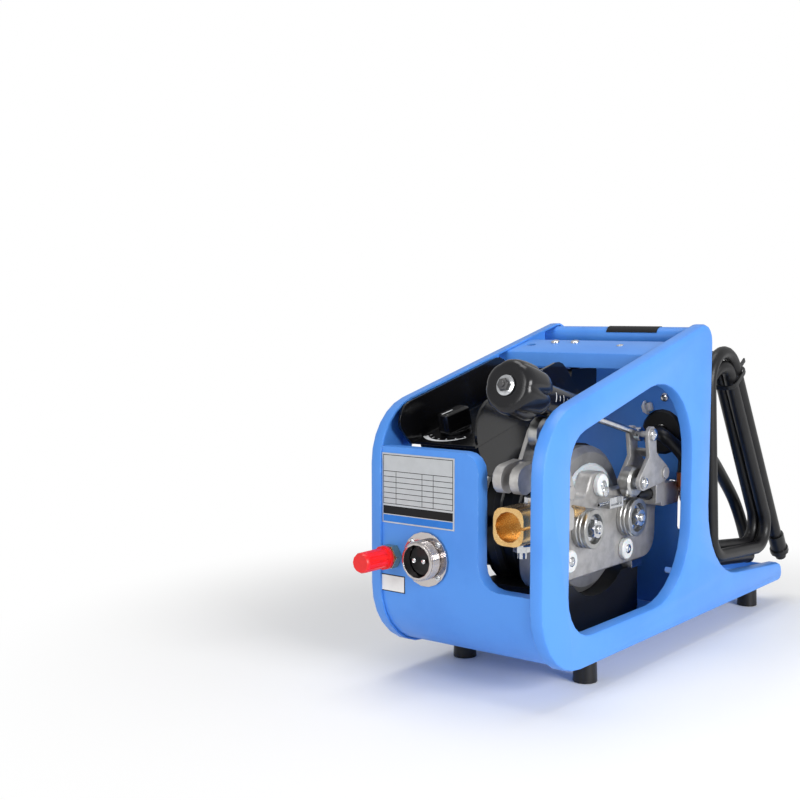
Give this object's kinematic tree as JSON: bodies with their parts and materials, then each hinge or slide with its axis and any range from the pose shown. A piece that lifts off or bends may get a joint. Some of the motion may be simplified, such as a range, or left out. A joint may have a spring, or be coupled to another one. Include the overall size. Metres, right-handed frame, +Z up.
{
  "type": "wire feeder",
  "caption": "Open-frame wire feeder for arc welding: geared roller drive with pressure arms, torch block, gas and control sockets, hood knob and coiled supply cable.",
  "frame": {"origin": "bottom centre of the feeder's own box, gas cap included, on the surface its feet stand on", "axes": "+X from the torch end to the tail, +Y from the wire-drive side to the motor side, +Z up"},
  "size_m": [0.5676, 0.1813, 0.3136],
  "materials": {
    "blue_paint": "satin powder coat",
    "black_rubber": "matte",
    "cast_aluminium": "as cast, satin",
    "turned_steel": "turned",
    "zinc_steel": "zinc plated",
    "white_nylon": "satin",
    "black_plastic": "moulded satin",
    "gloss_black": "semi gloss",
    "brass": "machined",
    "copper": "tinned copper, satin",
    "red_plastic": "moulded"
  },
  "bodies": {
    "frame": {"near_side_plate": "blue_paint", "far_side_plate": "blue_paint", "front_floor_sheet": "blue_paint", "rear_bulkhead": "blue_paint", "cross_rail": "blue_paint", "handle_tube": "blue_paint", "foot_front_near": "black_rubber", "foot_front_far": "black_rubber", "foot_rear_near": "black_rubber", "foot_rear_far": "black_rubber", "feed_casting": "cast_aluminium", "nylon_washer_top": "white_nylon", "nylon_washer_right": "white_nylon", "nylon_washer_left": "white_nylon", "gear_cover": "white_nylon", "gear_case": "cast_aluminium", "motor": "black_plastic", "drive_base": "black_plastic", "casting_clip": "zinc_steel", "inlet_guide": "black_plastic", "middle_guide": "zinc_steel", "outlet_guide": "brass", "torch_block": "brass", "torch_clamp_bolt": "zinc_steel", "torch_cable_stud": "zinc_steel", "control_hood": "black_plastic", "potentiometer": "zinc_steel", "gas_fitting": "brass", "gas_line": "black_rubber", "control_socket": "zinc_steel", "socket_insert": "black_plastic", "cable_grommet": "black_rubber", "inner_cable": "black_rubber", "cable_lug": "copper", "cable_lead": "black_rubber", "cable_hank": "black_rubber", "cable_tail": "black_rubber", "cable_plug": "black_plastic", "hank_tie": "black_plastic"},
    "pinion_rotor": {"pinion": "turned_steel"},
    "rear_drive": {"roller_gear_rear": "turned_steel", "drive_roller_rear": "turned_steel", "roller_nut_rear": "zinc_steel"},
    "front_drive": {"roller_gear_front": "turned_steel", "drive_roller_front": "turned_steel", "roller_nut_front": "zinc_steel"},
    "rear_arm": {"rear_pressure_arm": "cast_aluminium", "rear_roller_pin": "zinc_steel"},
    "rear_idler": {"idle_roller_rear": "turned_steel"},
    "front_arm": {"front_pressure_arm": "cast_aluminium", "front_roller_pin": "zinc_steel"},
    "front_idler": {"idle_roller_front": "turned_steel"},
    "pressure_handle": {"pressure_rod": "zinc_steel", "pressure_sleeve": "gloss_black", "pressure_spring": "turned_steel"},
    "pressure_screw": {"knob_bolt": "zinc_steel"},
    "pressure_grip": {"pressure_knob": "gloss_black"},
    "current_control": {"current_knob": "gloss_black"},
    "gas_cover": {"gas_cap": "red_plastic"}
  },
  "joints": [
    {"name": "pinion_spin", "type": "hinge", "parent": "frame", "child": "pinion_rotor", "pos_m": [-0.05235, -0.033, 0.13], "axis": [0, 1, 0], "continuous": true},
    {"name": "rear_drive_spin", "type": "hinge", "parent": "frame", "child": "rear_drive", "pos_m": [-0.01185, -0.05, 0.13], "axis": [0, 1, 0], "continuous": true},
    {"name": "front_drive_spin", "type": "hinge", "parent": "frame", "child": "front_drive", "pos_m": [-0.09285, -0.05, 0.13], "axis": [0, 1, 0], "continuous": true},
    {"name": "rear_arm_lift", "type": "hinge", "parent": "frame", "child": "rear_arm", "pos_m": [0.02585, -0.05, 0.1698], "axis": [0, 1, 0], "range_deg": [0, 8]},
    {"name": "rear_idler_spin", "type": "hinge", "parent": "rear_arm", "child": "rear_idler", "pos_m": [-0.01795, -0.05, 0.1647], "axis": [0, 1, 0], "continuous": true},
    {"name": "front_arm_swing", "type": "hinge", "parent": "frame", "child": "front_arm", "pos_m": [-0.14985, -0.05, 0.17], "axis": [0, 1, 0], "range_deg": [0, 120.7]},
    {"name": "front_idler_spin", "type": "hinge", "parent": "front_arm", "child": "front_idler", "pos_m": [-0.17482, -0.05, 0.22146], "axis": [0, 1, 0], "continuous": true},
    {"name": "handle_lift", "type": "hinge", "parent": "rear_arm", "child": "pressure_handle", "pos_m": [-0.00165, -0.05, 0.2089], "axis": [0, 1, 0], "range_deg": [0, 24.2]},
    {"name": "pressure_travel", "type": "slide", "parent": "pressure_handle", "child": "pressure_screw", "axis": [-0.9707, 0, 0.2402], "range_m": [-0.0024, 0.0048]},
    {"name": "knob_turn", "type": "hinge", "parent": "pressure_screw", "child": "pressure_grip", "pos_m": [-0.20744, -0.05, 0.25983], "axis": [-0.9707, 0, 0.2402], "range_deg": [-691.3, 1382.5]},
    {"name": "current_turn", "type": "hinge", "parent": "frame", "child": "current_control", "pos_m": [-0.15885, 0.051, 0.21735], "axis": [-0.2588, 0, 0.9659], "range_deg": [-135, 135]},
    {"name": "gas_cap_pull", "type": "slide", "parent": "frame", "child": "gas_cover", "axis": [-1, 0, 0], "range_m": [0, 0.04]}
  ],
  "couplings": [
    {"joint": "rear_drive_spin", "follows": "pinion_spin", "ratio": -0.8},
    {"joint": "front_drive_spin", "follows": "pinion_spin", "ratio": -0.8},
    {"joint": "handle_lift", "follows": "front_arm_swing", "ratio": 0.1988},
    {"joint": "knob_turn", "follows": "pressure_travel", "rad_per_m": 5026.5}
  ]
}
